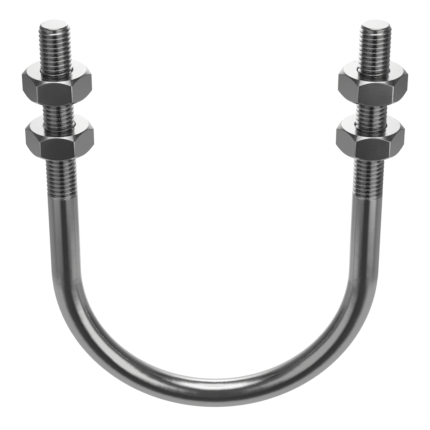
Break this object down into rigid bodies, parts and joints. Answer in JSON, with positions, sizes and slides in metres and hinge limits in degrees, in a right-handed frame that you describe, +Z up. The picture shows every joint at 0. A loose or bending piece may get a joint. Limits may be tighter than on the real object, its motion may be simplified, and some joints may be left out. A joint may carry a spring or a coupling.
{
  "type": "u-bolt with nuts",
  "caption": "Round-bend U-bolt of polished steel bar with threaded legs, each carrying a pair of hex nuts that clamp a plate or bracket onto a pipe.",
  "frame": {"origin": "centre of the bend, on the centre line of the clamped pipe", "axes": "+X from the left leg to the right leg, +Y along the clamped pipe, +Z up along the legs towards the stud ends"},
  "size_m": [0.1222, 0.0194, 0.1435],
  "materials": {
    "rod_steel": "polished steel",
    "nut_steel": "polished steel"
  },
  "bodies": {
    "rod": {"u_bolt_rod": "rod_steel"},
    "left_lower_nut": {"left_lower_nut": "nut_steel"},
    "left_upper_nut": {"left_upper_nut": "nut_steel"},
    "right_lower_nut": {"right_lower_nut": "nut_steel"},
    "right_upper_nut": {"right_upper_nut": "nut_steel"}
  },
  "joints": [
    {"name": "left_lower_nut_travel", "type": "slide", "parent": "rod", "child": "left_lower_nut", "axis": [0, 0, 1], "range_m": [-0.0163, 0.0052]},
    {"name": "left_upper_nut_travel", "type": "slide", "parent": "rod", "child": "left_upper_nut", "axis": [0, 0, 1], "range_m": [-0.0052, 0.0142]},
    {"name": "right_lower_nut_travel", "type": "slide", "parent": "rod", "child": "right_lower_nut", "axis": [0, 0, 1], "range_m": [-0.0163, 0.0052]},
    {"name": "right_upper_nut_travel", "type": "slide", "parent": "rod", "child": "right_upper_nut", "axis": [0, 0, 1], "range_m": [-0.0052, 0.0142]}
  ]
}
